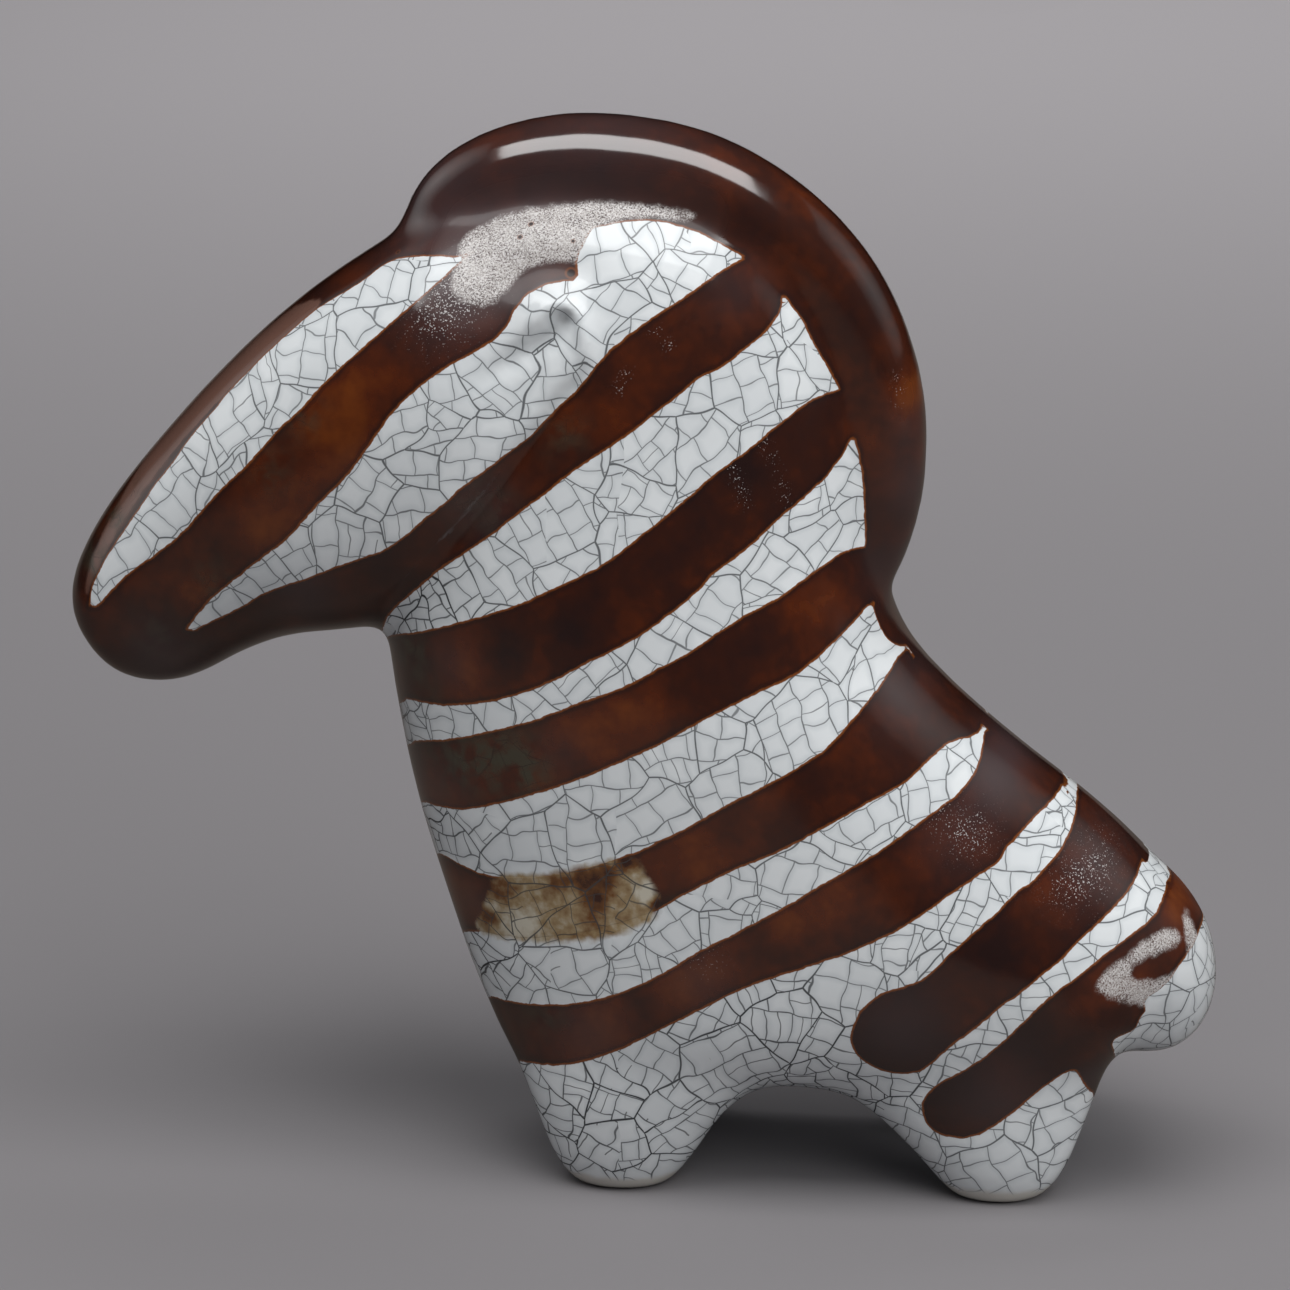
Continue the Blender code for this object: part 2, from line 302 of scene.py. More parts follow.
FLANK_BAND = [
    (984, 727), (982, 750), (975, 772), (960, 792), (940, 807), (920, 822), (895, 840), (870, 857),
    (845, 871), (820, 885), (795, 901), (760, 920), (730, 936), (700, 950), (670, 969), (640, 985),
    (610, 996), (580, 1003), (550, 1005), (520, 1003), (497, 998), (460, 985), (485, 1060),
    (515, 1060), (530, 1063), (550, 1066), (570, 1065), (595, 1059), (620, 1050), (650, 1036),
    (680, 1020), (710, 1005), (740, 990), (770, 979), (800, 970), (820, 963), (845, 955), (875, 942),
    (900, 930), (920, 917), (940, 902), (965, 885), (985, 872), (1000, 862), (1007, 847), (1020, 835),
    (1032, 820), (1047, 806), (1057, 795), (1060, 790), (1075, 770), (1020, 700),
]
LOIN_BAND = [
    (1075, 792), (1076, 810), (1070, 830), (1060, 850), (1047, 865), (1032, 882), (1017, 890),
    (1002, 907), (982, 925), (965, 940), (945, 957), (930, 975), (905, 987), (885, 991), (872, 999),
    (860, 1010), (851, 1030), (850, 1042), (856, 1056), (870, 1066), (885, 1072), (902, 1075),
    (920, 1072), (925, 1069), (940, 1057), (952, 1045), (975, 1030), (1000, 1007), (1020, 995),
    (1040, 977), (1060, 962), (1080, 940), (1100, 922), (1120, 902), (1135, 882), (1142, 862),
    (1147, 845), (1160, 830), (1090, 750),
]
RUMP_BAND = [
    (1168, 870), (1166, 887), (1160, 905), (1150, 920), (1130, 935), (1110, 950), (1090, 966),
    (1070, 982), (1055, 992), (1035, 1010), (1010, 1035), (985, 1057), (960, 1072), (940, 1082),
    (927, 1092), (921, 1105), (922, 1115), (930, 1130), (945, 1137), (965, 1139), (980, 1135),
    (995, 1126), (1015, 1112), (1040, 1090), (1060, 1076), (1075, 1068), (1082, 1082), (1090, 1092),
    (1100, 1096), (1110, 1090), (1117, 1077), (1122, 1065), (1110, 1042), (1120, 1036), (1136, 1030),
    (1140, 1017), (1147, 1011), (1142, 1000), (1165, 987), (1183, 960), (1194, 945), (1200, 928),
    (1205, 918), (1245, 902), (1200, 850),
]
BROWN_AREAS = (
    MANE, CROWN, NOSE_BRIDGE, CHEEK_BAND, MUZZLE, JAW_BAND, NECK_BAND, CHEST_BAND, SHOULDER_BAND,
    FLANK_BAND, LOIN_BAND, RUMP_BAND,
)
WORN_PATCH = [
    (494, 870), (530, 874), (575, 868), (612, 858), (634, 855), (646, 872), (658, 892), (662, 910),
    (648, 926), (610, 940), (560, 944), (510, 942), (478, 934), (474, 922), (484, 902),
]
# A pale tan strip down the bridge of the nose. It is thinner glaze there, with a painted reflection of the
# light along the bridge.
THIN_AND_SHEEN_STRIP = [
    (330, 298), (289, 335), (252, 368), (216, 404), (182, 442), (151, 481), (128, 515), (106, 553),
    (95, 578), (87, 600), (84, 580), (100, 535), (128, 484), (150, 450), (173, 421), (200, 388),
    (230, 357), (262, 330), (300, 300),
]
# Patches of roughened, speckled glaze on the crown and the hip. Their pale silvery colour further down is a
# painted highlight: the soft box's light spread by the roughened glaze. The hip patch is drawn to that
# highlight's shape.
ROUGH_HIGHLIT_CROWN = [
    (464, 236), (480, 226), (499, 216), (543, 206), (600, 201), (660, 205), (700, 214), (690, 222),
    (650, 217), (618, 221), (598, 228), (590, 240), (580, 264), (560, 262), (540, 263), (524, 271),
    (510, 285), (503, 295), (486, 307), (466, 305), (450, 292), (455, 262),
]
ROUGH_HIGHLIT_HIP = [
    (1184, 906), (1193, 922), (1199, 943), (1196, 962), (1186, 978), (1168, 995), (1150, 1008),
    (1125, 1002), (1100, 994), (1094, 986), (1104, 972), (1125, 957), (1145, 939), (1165, 928),
    (1176, 928), (1182, 940), (1176, 947), (1158, 952), (1140, 961), (1127, 975), (1145, 982),
    (1166, 977), (1184, 966), (1187, 952), (1184, 930),
]
THIN_AND_THICK = [
    (480, 785, 4, 0.20), (600, 715, 4, 0.15), (470, 690, 3, 0.20), (190, 590, 4, 0.24),
    (330, 420, 7, 0.42), (260, 510, 6, 0.28), (160, 660, 7, -0.25), (300, 600, 6, -0.10),
    (380, 570, 5, -0.20), (640, 380, 5, 0.10), (600, 420, 5, 0.15), (740, 480, 7, -0.25),
    (650, 560, 6, -0.15), (580, 630, 5, -0.20), (505, 655, 3, -0.35), (460, 665, 4, 0.30),
    (440, 800, 4, 0.35), (545, 775, 4, 0.25), (820, 600, 5, 0.20), (700, 670, 5, -0.20),
    (640, 700, 4, 0.25), (590, 740, 4, 0.25), (800, 780, 5, -0.15), (700, 850, 5, 0.30),
    (655, 905, 2, -0.30), (455, 890, 4, 0.45), (870, 880, 4, -0.10), (820, 910, 5, 0.20),
    (780, 930, 3, 0.25),
    (700, 980, 6, 0.32), (600, 1030, 6, 0.32), (1050, 900, 4, 0.10), (990, 950, 6, -0.30),
    (900, 1030, 8, -0.35), (1180, 880, 3, 0.35), (1040, 1040, 6, -0.30), (960, 1100, 7, -0.30),
    (1100, 1075, 3, -0.40), (600, 175, 9, -0.20), (915, 390, 3, 0.45), (890, 300, 8, -0.10),
    (880, 560, 6, -0.20),
]
OLIVE_PATCHES = [
    (96, 560, 2.5, 0.9), (115, 520, 2.0, 0.8), (135, 492, 1.5, 0.6),
    (498, 758, 5, 1.0), (455, 765, 4, 0.9), (530, 770, 3, 0.8), (545, 1012, 3, 0.8), (688, 908, 2.5, 0.5),
    (300, 415, 3, 0.6), (270, 470, 3, 0.5), (213, 581, 3, 0.5), (485, 505, 4, 0.7), (565, 438, 3, 0.5),
    (410, 652, 3, 1.0), (425, 690, 2.5, 0.6), (500, 1015, 3, 0.5), (780, 720, 4, 0.3), (160, 640, 4, 0.5),
]
# Purplish-grey patches. On the crown this is the glaze's own cast. On the mane and high on the back it is a
# painted sheen, standing for the dim reflection of the lamps in the glaze.
PURPLE_AND_SHEEN_PATCHES = [
    (520, 245, 8, 1.0), (455, 300, 6, 1.0), (960, 830, 6, 0.6), (1090, 870, 5, 0.6), (600, 130, 14, 0.6),
    (430, 200, 8, 0.9), (905, 690, 5, 0.5), (1000, 770, 5, 0.6), (440, 790, 5, 0.6), (590, 1035, 6, 0.7),
    (480, 505, 5, 0.7), (300, 590, 5, 0.8), (160, 660, 6, 0.8), (900, 1030, 7, 0.7), (1000, 1090, 7, 0.7),
    (740, 290, 4, 0.4), (1010, 735, 4, 0.5), (925, 480, 5, 0.8), (450, 665, 4, 0.5), (470, 900, 3, 0.7),
    (700, 980, 5, 0.5), (912, 560, 5, 0.8), (920, 420, 4, 0.4), (560, 750, 4, 0.3), (1090, 1080, 3, 0.6),
]
STAIN_SPOTS = [
    (598, 899, 1.9, 0.5), (606, 876, 1.6, 0.6), (585, 880, 1.8, 0.45), (628, 864, 1.4, 0.7),
    (560, 882, 2.0, 0.35), (500, 888, 1.8, 0.35), (487, 915, 1.4, 0.5), (478, 880, 1.6, 0.8),
    (590, 925, 2.5, 0.2), (632, 872, 0.9, -0.5), (647, 893, 1.3, -0.6), (520, 926, 2.2, -0.45),
    (490, 905, 1.0, -0.2), (657, 905, 1.2, 0.7), (470, 900, 1.6, 0.8), (615, 905, 1.2, -0.15),
]
# Painted glints: spots where small bright dots of painted highlight are strewn over the brown.
GLINT_SPOTS = [
    (733, 468, 0.7, 0.8), (737, 480, 0.7, 0.8), (741, 491, 0.7, 0.8), (745, 503, 0.7, 0.8),
    (766, 445, 0.8, 0.6), (772, 458, 0.8, 0.6), (778, 472, 0.8, 0.6), (782, 486, 0.8, 0.6),
    (786, 500, 0.8, 0.6), (656, 333, 0.8, 0.7), (668, 345, 0.8, 0.7), (626, 374, 0.8, 0.7),
    (620, 388, 0.8, 0.7), (898, 375, 0.8, 0.6), (899, 390, 0.8, 0.6), (896, 406, 0.8, 0.6),
    (970, 835, 2.8, 0.9), (945, 815, 2.5, 0.4), (1090, 872, 3.4, 0.8), (1065, 890, 2.5, 0.5),
    (458, 296, 4.0, 1.0), (430, 320, 3.5, 0.6), (700, 960, 3.0, 0.3),
]
PINHOLES = [(571, 273, 0.55), (531, 224, 0.30), (520, 237, 0.28), (573, 241, 0.22), (398, 252, 0.25)]
FINE_NET = [
    (420, 605, 7, 1.0), (490, 960, 6, 0.7), (520, 1100, 9, 0.6), (440, 830, 5, 0.7), (600, 1100, 9, 0.5),
    (760, 1040, 11, 0.7), (860, 1090, 9, 0.7), (640, 1140, 8, 0.5), (960, 920, 5, 0.3), (640, 380, 4, 0.4),
]
BRUSH_STEP_PX = 5
NO_DEPTH = -10.0
BACK_STARTS = 25.0
BACK_ENDS = 71.0
BACK_BAND_HALF = 3.5
RUMP_GAP = 60.0
RUMP_GAP_HALF = 1.4
FAR_SIDE_WANDER = 0.5


def brushed(outline):
    """One painted area as the side view has it, its corners rounded as a loaded brush leaves them."""
    line = np.array(outline, float)
    for _ in range(2):
        ahead = np.roll(line, -1, axis=0)
        line = np.stack((line * 0.75 + ahead * 0.25, line * 0.25 + ahead * 0.75), 1).reshape(-1, 2)
    ahead = np.roll(line, -1, axis=0)
    spots = []
    for start, end in zip(line, ahead):
        steps = max(1, int(np.hypot(*(end - start)) / BRUSH_STEP_PX))
        spots += [start + (end - start) * i / steps for i in range(steps)]
    return np.array([on_figure(spot)[[0, 2]] for spot in spots])


def covered(outline, places):
    """Which places lie inside one closed outline."""
    inside = np.zeros(len(places), bool)
    length, height = places.T
    for (x0, z0), (x1, z1) in zip(outline, np.roll(outline, -1, axis=0)):
        if z0 != z1:
            between = (z0 > height) != (z1 > height)
            inside ^= between & (length < x0 + (height - z0) * (x1 - x0) / (z1 - z0))
    return inside


def depth_under(outlines, places, normals):
    """How far in mm each place lies inside the painted areas, along the skin. Below zero is outside."""
    starts, ends = [], []
    for own in outlines:
        ahead = np.roll(own, -1, axis=0)
        shown = np.ones(len(own), bool)
        for other in outlines:
            if other is not own:
                shown &= ~covered(other, (own + ahead) / 2)
        starts.append(own[shown])
        ends.append(ahead[shown])
    starts, ends = np.concatenate(starts), np.concatenate(ends)
    tree = KDTree(len(starts))
    for i, (x, z) in enumerate((starts + ends) / 2):
        tree.insert((x, 0, z), i)
    tree.balance()
    nearest = np.array([[hit[1] for hit in tree.find_n((x, 0, z), 3)] for x, z in places])
    best = np.full(len(places), 1e9)
    pull = np.zeros((len(places), 2))
    for choice in nearest.T:
        run = ends[choice] - starts[choice]
        share = ((places - starts[choice]) * run).sum(1) / np.maximum((run * run).sum(1), 1e-9)
        away = places - starts[choice] - run * np.clip(share, 0, 1)[:, None]
        reach = np.hypot(*away.T)
        closer = reach < best
        best[closer] = reach[closer]
        pull[closer] = away[closer]
    pull /= np.maximum(best, 1e-6)[:, None]
    lean = (pull * normals[:, [0, 2]]).sum(1)
    best /= np.sqrt(np.maximum(1 - lean * lean, 0.12))
    inside = np.zeros(len(places), bool)
    for outline in outlines:
        inside |= covered(outline, places)
    return np.where(inside, best, -best)


places, normals = skin_arrays()
side_view = places[:, [0, 2]]
brown_areas = [brushed(area) for area in BROWN_AREAS]
brown_depth = depth_under(brown_areas, side_view, normals)
on_back = (normals[:, 2] > 0.05) & (side_view[:, 0] > BACK_STARTS) & (side_view[:, 0] < BACK_ENDS)
from_gap = np.abs(side_view[:, 0] - RUMP_GAP) - RUMP_GAP_HALF
back_depth = np.where(on_back, np.minimum(BACK_BAND_HALF - np.abs(places[:, 1]), from_gap), NO_DEPTH)
brown_depth = np.maximum(brown_depth, back_depth)
far_side = np.clip((places[:, 1] - 3) / 6, 0, 1)
wander = np.sin(side_view[:, 0] / 5.3 + 1.0) + np.sin(side_view[:, 1] / 4.1 + side_view[:, 0] / 9.7)
brown_depth += far_side * wander * FAR_SIDE_WANDER
worn_depth = depth_under([brushed(WORN_PATCH)], side_view, normals)
worn_depth = np.where(places[:, 1] < 0, worn_depth, NO_DEPTH)
# The roughened patches. Their silvery colour is a painted highlight over real roughened glaze.
rough_depth = depth_under([brushed(ROUGH_HIGHLIT_CROWN)], side_view, normals)
rough_depth = np.maximum(rough_depth, depth_under([brushed(ROUGH_HIGHLIT_HIP)], side_view, normals))
rough_depth -= far_side
thin_depth = depth_under([brushed(THIN_AND_SHEEN_STRIP)], side_view, normals)


def pooled_about(spots):
    """A strength for each point of the skin, summed over soft round spots."""
    total = np.zeros(len(places))
    for across_px, down_px, reach, strength in spots:
        middle = on_figure((across_px, down_px))[[0, 2]]
        total += strength * hump(np.hypot(*(side_view - middle).T), reach)
    return total


SKIN_VALUES = {
    "brown_depth": brown_depth,
    "worn_depth": worn_depth,
    "rough_depth": rough_depth,
    "thin_depth": thin_depth,
    "brown_tone": pooled_about(THIN_AND_THICK),
    "olive": pooled_about(OLIVE_PATCHES) * (1 - 0.6 * far_side),
    "purple": pooled_about(PURPLE_AND_SHEEN_PATCHES) * (1 - 0.3 * far_side),
    "stain": pooled_about(STAIN_SPOTS),
    "sparkles": pooled_about(GLINT_SPOTS),
    "fine_net": pooled_about(FINE_NET),
}
for name, values in SKIN_VALUES.items():
    layer = figurine.data.attributes.new(name, "FLOAT", "POINT")
    layer.data.foreach_set("value", values.astype(np.float32))

# The broad facing. The crackle needs to know which way the casting faces without its small relief, so the
# normals are averaged over neighbours, round after round.
BROADENING = 132
ends = np.empty(len(figurine.data.edges) * 2, int)
figurine.data.edges.foreach_get("vertices", ends)
ends = ends.reshape(-1, 2)
broad = normals.copy()
for _ in range(BROADENING):
    mixed = [
        np.bincount(ends[:, 0], broad[ends[:, 1], axis], len(broad))
        + np.bincount(ends[:, 1], broad[ends[:, 0], axis], len(broad))
        for axis in range(3)
    ]
    broad = np.stack(mixed, 1)
    broad /= np.maximum(np.linalg.norm(broad, axis=1), 1e-9)[:, None]
layer = figurine.data.attributes.new("broad_facing", "FLOAT_VECTOR", "POINT")
layer.data.foreach_set("vector", broad.astype(np.float32).ravel())


class Glaze:
    """One value in the glaze's recipe. An expression on values adds the nodes that work it out."""

    tree = None

    def __init__(self, socket):
        self.socket = socket

    @classmethod
    def node(cls, kind, settings, sockets, out=0):
        """A new node's output, or the node itself where out is None."""
        made = cls.tree.nodes.new("ShaderNode" + kind)
        for name, value in settings.items():
            if name == "stops":
                ramp = made.color_ramp.elements
                ramp[0].position, ramp[0].color = value[0]
                ramp[1].position, ramp[1].color = value[-1]
                for position, colour in value[1:-1]:
                    ramp.new(position).color = colour
            else:
                setattr(made, name, value)
        for name, value in sockets.items():
            if isinstance(value, cls):
                cls.tree.links.new(value.socket, made.inputs[name])
            else:
                made.inputs[name].default_value = value
        return made if out is None else cls(made.outputs[out])

    def also(self, out):
        """Another output of the same node."""
        return Glaze(self.socket.node.outputs[out])

    def math(self, operation, other=0.0):
        return Glaze.node("Math", {"operation": operation}, {0: self, 1: other})

    def __add__(self, other):
        return self.math("ADD", other)

    def __sub__(self, other):
        return self.math("SUBTRACT", other)

    def __rsub__(self, other):
        return Glaze.node("Math", {"operation": "SUBTRACT"}, {0: other, 1: self})

    def __mul__(self, other):
        return self.math("MULTIPLY", other)

    def __truediv__(self, other):
        return self.math("DIVIDE", other)

    __radd__ = __add__
    __rmul__ = __mul__


def vectors(operation, first, second, out=0):
    return Glaze.node("VectorMath", {"operation": operation}, {0: first, 1: second}, out)


def rises(value, start, end):
    """Zero before start, one after end, and a soft step between them."""
    return Glaze.node(
        "MapRange", {"interpolation_type": "SMOOTHSTEP"},
        {"Value": value, "From Min": start, "From Max": end},
    )


def mottle(place, size, detail=2.0):
    """Cloudy noise from 0 to 1 whose patches are about size mm across."""
    return Glaze.node("TexNoise", {}, {"Vector": place, "Scale": 1 / size, "Detail": detail})


def tinted(factor, under, over):
    return Glaze.node("Mix", {"data_type": "RGBA"}, {"Factor": factor, 6: under, 7: over}, 2)


def from_line(value, spacing):
    """Distance to the nearest whole number, as a length, of a value that rises by one each spacing."""
    part = value.math("FRACT")
    return part.math("MINIMUM", 1 - part) * spacing


def chance(place, salt):
    """A random number from 0 to 1 that is the same all over one cell."""
    return Glaze.node("TexWhiteNoise", {"noise_dimensions": "4D"}, {"Vector": place, "W": salt}, "Value")


# The glaze. A thick glossy bluish white, crazed all over in a net of fine grey cracks, under brown
# that breaks orange where it is thin, at the edges of each band, and goes nearly black where it pools.
# The net is large curved cracks, strips across each large cell, blocks along each strip, and some halved.
WHITE = (0.77, 0.80, 0.81, 1)
DULL_WHITE = (0.57, 0.605, 0.625, 1)
CREAM_FOOT = (0.62, 0.60, 0.55, 1)
CRACK_GREY = (0.050, 0.053, 0.057, 1)
POOLED = (0.024, 0.0115, 0.0105, 1)
DARK_BROWN = (0.042, 0.0135, 0.0090, 1)
MID_BROWN = (0.088, 0.020, 0.0078, 1)
THIN_ORANGE = (0.160, 0.040, 0.0090, 1)
EDGE_ORANGE = (0.240, 0.070, 0.0160, 1)
OLIVE = (0.058, 0.050, 0.033, 1)
# The next four colours stand partly for light. The purplish grey and the tan are partly painted sheen and
# reflection. The silvery grey and the colour of the glints are painted highlight.
PURPLE_AND_SHEEN = (0.066, 0.044, 0.046, 1)
TAN_AND_SHEEN = (0.20, 0.105, 0.080, 1)
SILVER_HIGHLIGHT = (0.49, 0.46, 0.44, 1)
PAINTED_GLINT_WHITE = (0.72, 0.70, 0.69, 1)
WORN_PALE = (0.60, 0.56, 0.46, 1)
WORN_TAN = (0.33, 0.24, 0.13, 1)
WORN_BROWN = (0.155, 0.062, 0.018, 1)
LARGE_CELL = 9.5
CURVE_OF_CRACKS = (3.0, 3.0, 3.0)
RIPPLE_OF_CRACKS = (1.5, 1.5, 1.5)
STRIP_WIDTH = 3.8
BLOCK_LENGTH = 3.7
THINNEST_CRACK = 0.050
CRACK_SWELLING = 0.055
RIM_FULL_TO = 0.10
RIM_GONE_AT = 0.42
FOOT_BARE_TO = 1.6
FOOT_GLAZED_FROM = 2.8
SPECKLE_SIZE = 0.20
GLINT_DOT_SIZE = 0.24
WHITE_ROUGHNESS = 0.08
WHITE_IOR = 1.42
COAT_ROUGHNESS = 0.13
COAT_IOR = 1.75
UNCRAZED = (0.55, 0.0, 0.83)
FLANK_STARTS = 7.0

glaze = bpy.data.materials.new("crackled_glaze")
glaze.use_nodes = True
glaze.node_tree.nodes.clear()
Glaze.tree = glaze.node_tree
spot = Glaze.node("TexCoord", {}, {}, "Object")
facing = Glaze.node("Attribute", {"attribute_name": "broad_facing"}, {}, "Vector")
place = Glaze.node("VectorMath", {"operation": "SCALE"}, {0: spot, "Scale": 1000.0})
own = {name: Glaze.node("Attribute", {"attribute_name": name}, {}, "Fac") for name in SKIN_VALUES}
brown, worn = own["brown_depth"], own["worn_depth"]

bends = mottle(place, 8, 1).also("Color")
bent = Glaze.node("VectorMath", {"operation": "MULTIPLY_ADD"}, {0: bends, 1: CURVE_OF_CRACKS, 2: place})
near = Glaze.node("TexVoronoi", {"feature": "F1"}, {"Vector": bent, "Scale": 1 / LARGE_CELL}, "Position")
far = Glaze.node("TexVoronoi", {"feature": "F2"}, {"Vector": bent, "Scale": 1 / LARGE_CELL}, "Position")
wall = vectors("NORMALIZE", vectors("SUBTRACT", far, near), (0, 0, 0))
middle = Glaze.node("VectorMath", {"operation": "SCALE"}, {0: vectors("ADD", far, near), "Scale": 0.5})
wall_gap = vectors("DOT_PRODUCT", vectors("SUBTRACT", middle, bent), wall, "Value")
wall_slant = vectors("LENGTH", vectors("CROSS_PRODUCT", wall, facing), (0, 0, 0), "Value")
large_gap = wall_gap / wall_slant.math("MAXIMUM", 0.15)

ripple = mottle(place, 3.5, 1).also("Color")
rippled = Glaze.node("VectorMath", {"operation": "MULTIPLY_ADD"}, {0: ripple, 1: RIPPLE_OF_CRACKS, 2: bent})
from_middle = vectors("SUBTRACT", rippled, near)
main_facing = vectors("FLOOR", vectors("ADD", facing, (0.5, 0.5, 0.5)), (0, 0, 0))
from_middle_plane = Glaze.node("SeparateXYZ", {}, {"Vector": near}, "Y").math("ABSOLUTE")
on_flank = from_middle_plane.math("GREATER_THAN", FLANK_STARTS)
flank_facing = (0, 1, 0)
main_facing = Glaze.node(
    "Mix", {"data_type": "VECTOR"}, {"Factor": on_flank, 4: main_facing, 5: flank_facing}, 1,
)
main_facing = vectors("NORMALIZE", main_facing, (0, 0, 0))
level = vectors("NORMALIZE", vectors("CROSS_PRODUCT", main_facing, UNCRAZED), (0, 0, 0))
turn = chance(near, 5.0) * math.pi
grain = Glaze.node("VectorRotate", {}, {"Vector": level, "Axis": main_facing, "Angle": turn})
cross_grain = vectors("CROSS_PRODUCT", main_facing, grain)
lot = chance(near, 1.0)
strip_width = (0.8 + 0.4 * lot) * STRIP_WIDTH
strip = vectors("DOT_PRODUCT", from_middle, cross_grain, "Value") / strip_width + lot * 7
strip_gap = from_line(strip, strip_width)
strip_lot = chance(near, strip.math("FLOOR") + 3)
block_length = (0.75 + 0.5 * strip_lot) * BLOCK_LENGTH
block = vectors("DOT_PRODUCT", from_middle, grain, "Value") / block_length + strip_lot * 9
block_gap = from_line(block, block_length)
block_lot = chance(near, block.math("FLOOR") * 17 + strip.math("FLOOR") * 5)
halved_across = block_lot.math("GREATER_THAN", 0.5)
half_gap = from_line(block + 0.5, block_length) * halved_across
half_gap = half_gap + from_line(strip + 0.5, strip_width) * (1 - halved_across)
halved = chance(near, block.math("FLOOR") * 13 + strip.math("FLOOR") * 3 + 0.5)
halved = halved.math("LESS_THAN", own["fine_net"] * 0.9 + 0.12)

crack_width = mottle(place, 5) * CRACK_SWELLING + THINNEST_CRACK + own["fine_net"] * 0.02
large_crack = 1 - rises(large_gap / crack_width, 0.7, 1.9)
strip_crack = 1 - rises(strip_gap / crack_width, 0.55, 1.6)
block_crack = 1 - rises(block_gap / crack_width, 0.5, 1.5)
fine_crack = (1 - rises(half_gap / crack_width, 0.5, 1.4)) * halved
cracks = large_crack.math("MAXIMUM", strip_crack * 0.9)
cracks = cracks.math("MAXIMUM", block_crack * 0.8)
cracks = cracks.math("MAXIMUM", fine_crack * 0.8)
cracks = cracks * (0.84 + 0.3 * own["fine_net"]).math("MINIMUM", 1.0)
crack_near = large_gap.math("MINIMUM", strip_gap).math("MINIMUM", block_gap)
soaked = 1 - rises(crack_near, 0.0, 1.0)

edge = brown + (mottle(place, 1.6, 3) - 0.5) * 0.45 + (mottle(place, 0.6, 1) - 0.5) * 0.15
band = rises(edge, -0.06, 0.06)
rim = 1 - rises(edge, RIM_FULL_TO, RIM_GONE_AT)
tone = own["brown_tone"] + 0.44 + (mottle(place, 7, 3) - 0.5) * 0.8 + (mottle(place, 1.5, 3) - 0.5) * 0.25
tone = tone - 0.16 * (1 - rises(edge, 0.5, 1.1))
glazed_brown = Glaze.node("ValToRGB", {"stops": [
    (0.12, POOLED), (0.38, DARK_BROWN), (0.62, MID_BROWN), (0.90, THIN_ORANGE),
]}, {"Fac": tone})
cloudy = rises(mottle(place, 2.5, 3), 0.35, 0.65)
# The pale tan strip on the nose: partly thinner glaze, partly painted reflection.
thinned_and_sheen = rises(own["thin_depth"] + (mottle(place, 2, 3) - 0.5) * 1.2, -0.3, 0.7)
glazed_brown = tinted(thinned_and_sheen * 0.8, glazed_brown, TAN_AND_SHEEN)
glazed_brown = tinted(own["olive"] * cloudy, glazed_brown, OLIVE)
# Purplish grey: partly the glaze's own cast, partly painted sheen.
glazed_brown = tinted(own["purple"] * 0.7, glazed_brown, PURPLE_AND_SHEEN)
glazed_brown = tinted(cracks * own["olive"] * 0.5, glazed_brown, POOLED)
glazed_brown = tinted(rim * 0.85, glazed_brown, EDGE_ORANGE)

rise_mm = Glaze.node("SeparateXYZ", {}, {"Vector": place}, "Z")
foot = 1 - rises(rise_mm + (mottle(place, 4) - 0.5) * 1.5, FOOT_BARE_TO, FOOT_GLAZED_FROM)
white = tinted(chance(near, strip.math("FLOOR") + 11) * 0.35, WHITE, DULL_WHITE)
white = tinted(soaked * 0.55, white, DULL_WHITE)
white = tinted(foot, white, CREAM_FOOT)
white = tinted((1 - foot) * cracks, white, CRACK_GREY)
stain = own["stain"] + 0.36 + (mottle(place, 1.4, 4) - 0.5) * 0.75 + (mottle(place, 4, 2) - 0.5) * 0.4
worn_glaze = Glaze.node("ValToRGB", {"stops": [
    (0.05, WORN_PALE), (0.38, WORN_TAN), (0.66, WORN_BROWN), (0.95, DARK_BROWN),
]}, {"Fac": stain})
worn_glaze = tinted(cracks, worn_glaze, CRACK_GREY)
gone = rises(worn + (mottle(place, 1.5, 3) - 0.5) * 1.6, -0.4, 0.8)
colour = tinted(band, white, glazed_brown)
colour = tinted(gone, colour, worn_glaze)

# On the roughened patches the speckle is painted pale and silvery. This is a painted highlight over real
# speckled glaze.
rough_highlit = rises(own["rough_depth"] + (mottle(place, 2, 2) - 0.5) * 1.5, -0.5, 0.9) * band
dulled = rises(own["rough_depth"], -6.5, -2.5) * band
speckle = mottle(place, SPECKLE_SIZE, 2)
silver_highlight = rough_highlit * rises(speckle + (mottle(place, 3, 2) - 0.5) * 0.3, 0.32, 0.56)
colour = tinted(silver_highlight * 0.9, colour, SILVER_HIGHLIGHT)
# Painted glints: tiny dots of painted highlight over the brown, strewn most thickly on the roughened
# patches.
glint_dots = mottle(place, GLINT_DOT_SIZE, 1)
painted_glint = rises(glint_dots + own["sparkles"] * 0.10, 0.70, 0.74) * band * own["sparkles"]
painted_glint = painted_glint + rough_highlit * rises(glint_dots, 0.48, 0.62)
colour = tinted(painted_glint.math("MINIMUM", 0.7), colour, PAINTED_GLINT_WHITE)
for across_px, down_px, reach in PINHOLES:
    from_hole = vectors("DISTANCE", place, tuple(on_figure((across_px, down_px))), "Value") / reach
    colour = tinted((1 - rises(from_hole, 1.3, 1.8)) * 0.5, colour, EDGE_ORANGE)
    colour = tinted(1 - rises(from_hole, 0.8, 1.2), colour, POOLED)
relief = mottle(place, 10, 1) * 0.10 + band * 0.03 + rough_highlit * speckle * 0.05
bump = Glaze.node("Bump", {}, {"Strength": 1.0, "Distance": 0.001, "Height": relief})
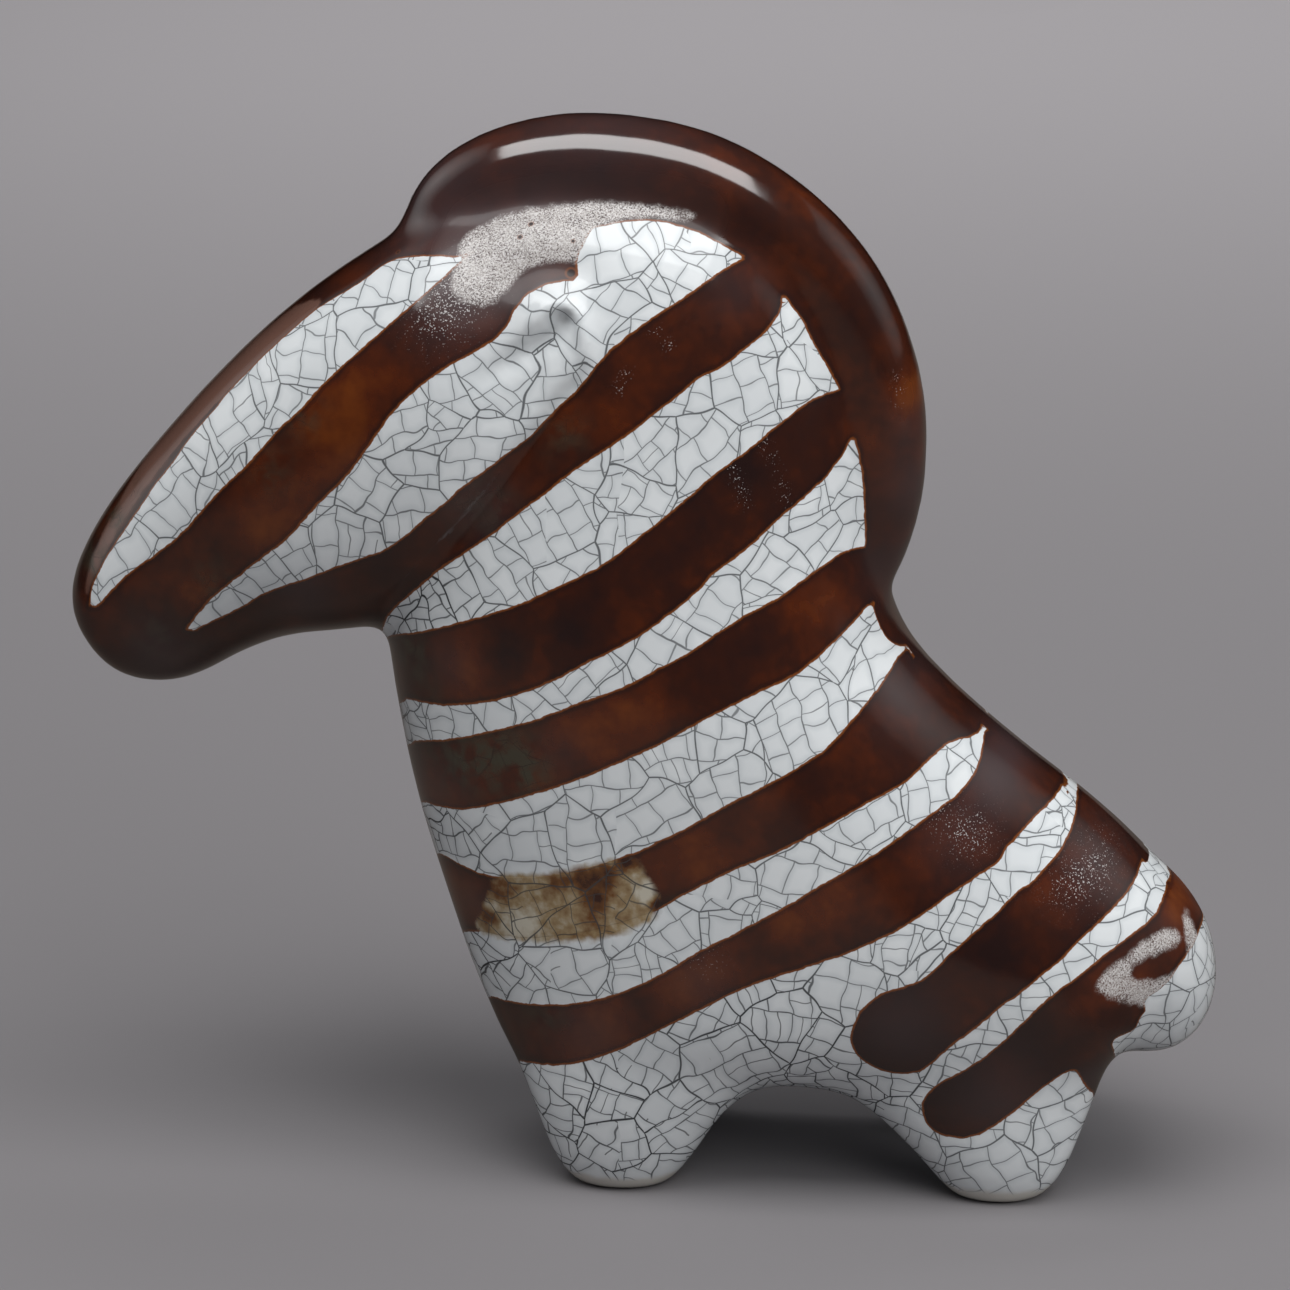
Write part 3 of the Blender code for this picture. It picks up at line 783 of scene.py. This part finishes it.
surface = Glaze.node("BsdfPrincipled", {}, {
    "Base Color": colour,
    "Roughness": WHITE_ROUGHNESS + dulled * 0.35,
    "IOR": WHITE_IOR,
    "Coat Weight": band * (1 - dulled * 0.85),
    "Coat Roughness": COAT_ROUGHNESS,
    "Coat IOR": COAT_IOR,
    "Normal": bump,
})
Glaze.node("OutputMaterial", {}, {"Surface": surface}, None)
figurine.data.materials.clear()
figurine.data.materials.append(glaze)
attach(figurine, "root")
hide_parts("zebra_figurine")

# The floor. A wide plain pale sheet that the figurine stands on, so that it throws a soft shadow. The
# glaze sees it in a darker colour than the camera does: a painted shade on the floor's reflection.
FLOOR_SIDE = 8.0
PALE_FLOOR = (0.226, 0.216, 0.224, 1)
FLOOR_SHADE_IN_GLAZE = (0.068, 0.056, 0.048, 1)
FLOOR_ROUGHNESS = 0.9
bpy.ops.object.select_all(action="DESELECT")
bpy.ops.mesh.primitive_plane_add(size=FLOOR_SIDE, location=(0, 0, 0))
floor = bpy.context.object
floor.name = "floor"
paper = bpy.data.materials.new("pale_floor")
paper.use_nodes = True
Glaze.tree = paper.node_tree
reflected = Glaze.node("LightPath", {}, {}, "Is Glossy Ray")
sheet = paper.node_tree.nodes["Principled BSDF"]
paper.node_tree.links.new(tinted(reflected, PALE_FLOOR, FLOOR_SHADE_IN_GLAZE).socket, sheet.inputs["Base Color"])
sheet.inputs["Roughness"].default_value = FLOOR_ROUGHNESS
floor.data.materials.append(paper)

# The light. A long soft box hangs over the figurine, and dim ones stand at the tail end and the head end.
# The glaze reflects all three. Weak light from the front and the tail end fills the shade, and one more
# lights the floor behind. Places are in metres, and strengths in watts.
SOFT_BOX_TILT = math.radians(14)
BOX_SPREAD = math.radians(64)
FLOOR_LIGHT_SPREAD = math.radians(70)
ROOM_COLOUR = (0.95, 0.95, 1.0, 1)
ROOM_STRENGTH = 0.13


def aimed(line):
    """The turn that points a light along a line."""
    return Vector(line).to_track_quat("-Z", "Y").to_euler()


def area_light(name, stands_at, turn, strength, width, height=None, spread=math.pi, reflected=True):
    bpy.ops.object.light_add(type="AREA", location=stands_at)
    light = bpy.context.object
    light.name = name
    light.rotation_euler = turn
    light.data.size = width
    if height:
        light.data.shape = "RECTANGLE"
        light.data.size_y = height
    light.data.spread = spread
    light.data.energy = strength
    light.visible_glossy = reflected


area_light("soft_box", (0.00, -0.20, 0.72), (SOFT_BOX_TILT, 0, 0), 4.1, 0.78, 0.42)
area_light("tail_box", (0.62, 0.15, 0.40), aimed((-0.62, -0.15, -0.32)), 0.045, 0.80, 0.46, BOX_SPREAD)
area_light("head_box", (-0.62, 0.10, 0.46), aimed((0.62, -0.10, -0.34)), 0.14, 0.90, 0.70, BOX_SPREAD)
area_light("side_fill", (0.90, -0.25, 0.35), aimed((-0.90, 0.25, -0.28)), 2.0, 0.4, reflected=False)
area_light("front_fill", (0.45, -0.80, 0.80), aimed((-0.45, 0.80, -0.73)), 3.5, 0.6, reflected=False)
area_light("floor_light", (0, 1.1, 1.3), (0, 0, 0), 7.8, 1.2, spread=FLOOR_LIGHT_SPREAD, reflected=False)
world = bpy.data.worlds.new("dim_room")
world.use_nodes = True
world.node_tree.nodes["Background"].inputs["Color"].default_value = ROOM_COLOUR
world.node_tree.nodes["Background"].inputs["Strength"].default_value = ROOM_STRENGTH
world.cycles_visibility.glossy = False
bpy.context.scene.world = world
bpy.context.scene.view_settings.view_transform = "Standard"
